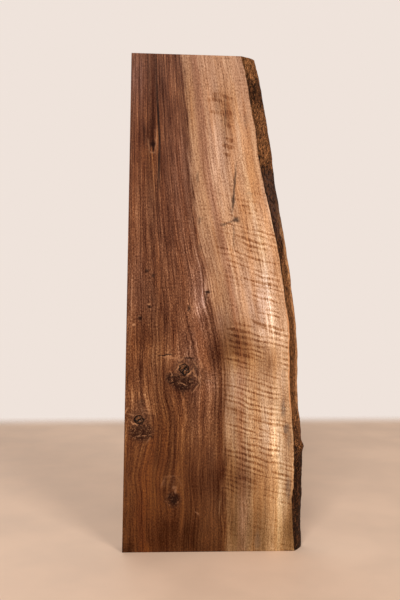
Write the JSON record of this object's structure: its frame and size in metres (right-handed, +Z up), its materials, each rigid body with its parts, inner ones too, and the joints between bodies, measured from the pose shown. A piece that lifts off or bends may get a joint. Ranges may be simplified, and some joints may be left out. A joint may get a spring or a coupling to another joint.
{
  "type": "black walnut board",
  "caption": "Live-edge hardwood board, planed on both faces and sawn square at the ends, standing upright on its foot as a shelf, leg or panel blank.",
  "frame": {"origin": "middle of the bounding box, on the surface that the foot stands on", "axes": "+Z up the board along its length, -Y out of the front face, +X towards the live edge"},
  "size_m": [0.2274, 0.022, 0.6096],
  "materials": {
    "walnut": "planed and lightly oiled heartwood and sapwood, with a bare live edge"
  },
  "bodies": {
    "root": {"board": "walnut"}
  },
  "joints": []
}
